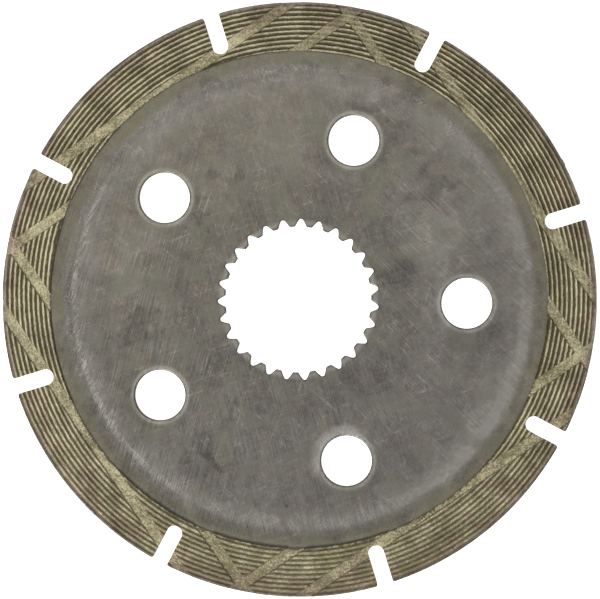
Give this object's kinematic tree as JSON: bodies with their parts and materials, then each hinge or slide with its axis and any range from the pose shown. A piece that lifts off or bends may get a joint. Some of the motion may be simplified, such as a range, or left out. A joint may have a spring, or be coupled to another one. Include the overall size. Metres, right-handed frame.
{
  "type": "wet brake friction disc",
  "caption": "Flat ring-lined brake disc with an involute splined bore, round oil holes, radial rim slots and crossing oil channels, for an oil-immersed axle brake.",
  "frame": {"origin": "centre of the disc, halfway through its thickness", "axes": "+Z along the disc's axis, out of the front lining; +X through the centre of one of the five oil holes"},
  "size_m": [0.224, 0.224, 0.0048],
  "materials": {
    "steel_plate": "wire-brushed, lightly oiled, scratched",
    "sintered_lining": "dull sintered bronze, turned and pressed"
  },
  "bodies": {
    "root": {"core_plate": "steel_plate", "front_facing": "sintered_lining", "rear_facing": "sintered_lining"}
  },
  "joints": []
}
